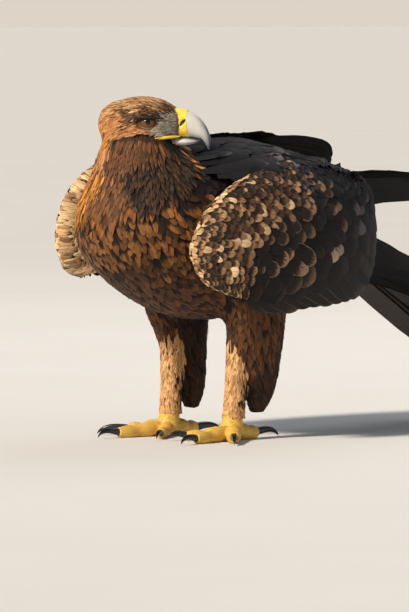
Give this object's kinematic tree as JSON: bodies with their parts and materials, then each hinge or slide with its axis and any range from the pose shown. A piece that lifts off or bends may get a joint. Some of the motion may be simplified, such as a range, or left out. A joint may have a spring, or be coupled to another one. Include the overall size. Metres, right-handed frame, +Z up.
{
  "type": "golden eagle",
  "caption": "Life-size standing golden eagle with loosely folded wings, head turned over its left shoulder; a still model of layered feathers.",
  "frame": {"origin": "bottom centre of the whole bird's bounding box, at floor level", "axes": "+Z up, +Y towards the tail and wing tips, so the breast faces -Y, and +X towards the bird's own left side"},
  "size_m": [0.2866, 0.6418, 0.3705],
  "materials": {
    "body_feather": "soft barbed feather, dark brown with warm buff tips",
    "nape_feather": "soft lanceolate feather, golden tawny over dark bases",
    "covert_feather": "smooth feather, dark brown with pale worn edges",
    "flight_feather": "firm vane with a slight sheen, brown-black",
    "shank_feather": "short dense feather, pale golden buff",
    "horn": "smooth horn, pale at the base and slate grey to the tip",
    "cere": "bare waxy skin, bright yellow",
    "toe_skin": "scaled bare skin, yellow",
    "claw": "smooth horn, black",
    "eye": "wet and glossy, amber-brown iris round a black pupil"
  },
  "bodies": {
    "root": {"bill_hook": "horn", "bill_lower": "horn", "cere": "cere", "claw_hind_left": "claw", "claw_hind_right": "claw", "claw_inner_left": "claw", "claw_inner_right": "claw", "claw_middle_left": "claw", "claw_middle_right": "claw", "claw_outer_left": "claw", "claw_outer_right": "claw", "eye_left": "eye", "eye_right": "eye", "foot_left": "toe_skin", "foot_right": "toe_skin", "head": "nape_feather", "neck": "nape_feather", "primaries_left": "flight_feather", "primaries_right": "flight_feather", "secondaries_left": "flight_feather", "secondaries_right": "flight_feather", "shank_left": "shank_feather", "shank_right": "shank_feather", "tail": "flight_feather", "thigh_left": "body_feather", "thigh_right": "body_feather", "torso": "body_feather", "wing_left": "covert_feather", "wing_right": "covert_feather"}
  },
  "joints": []
}
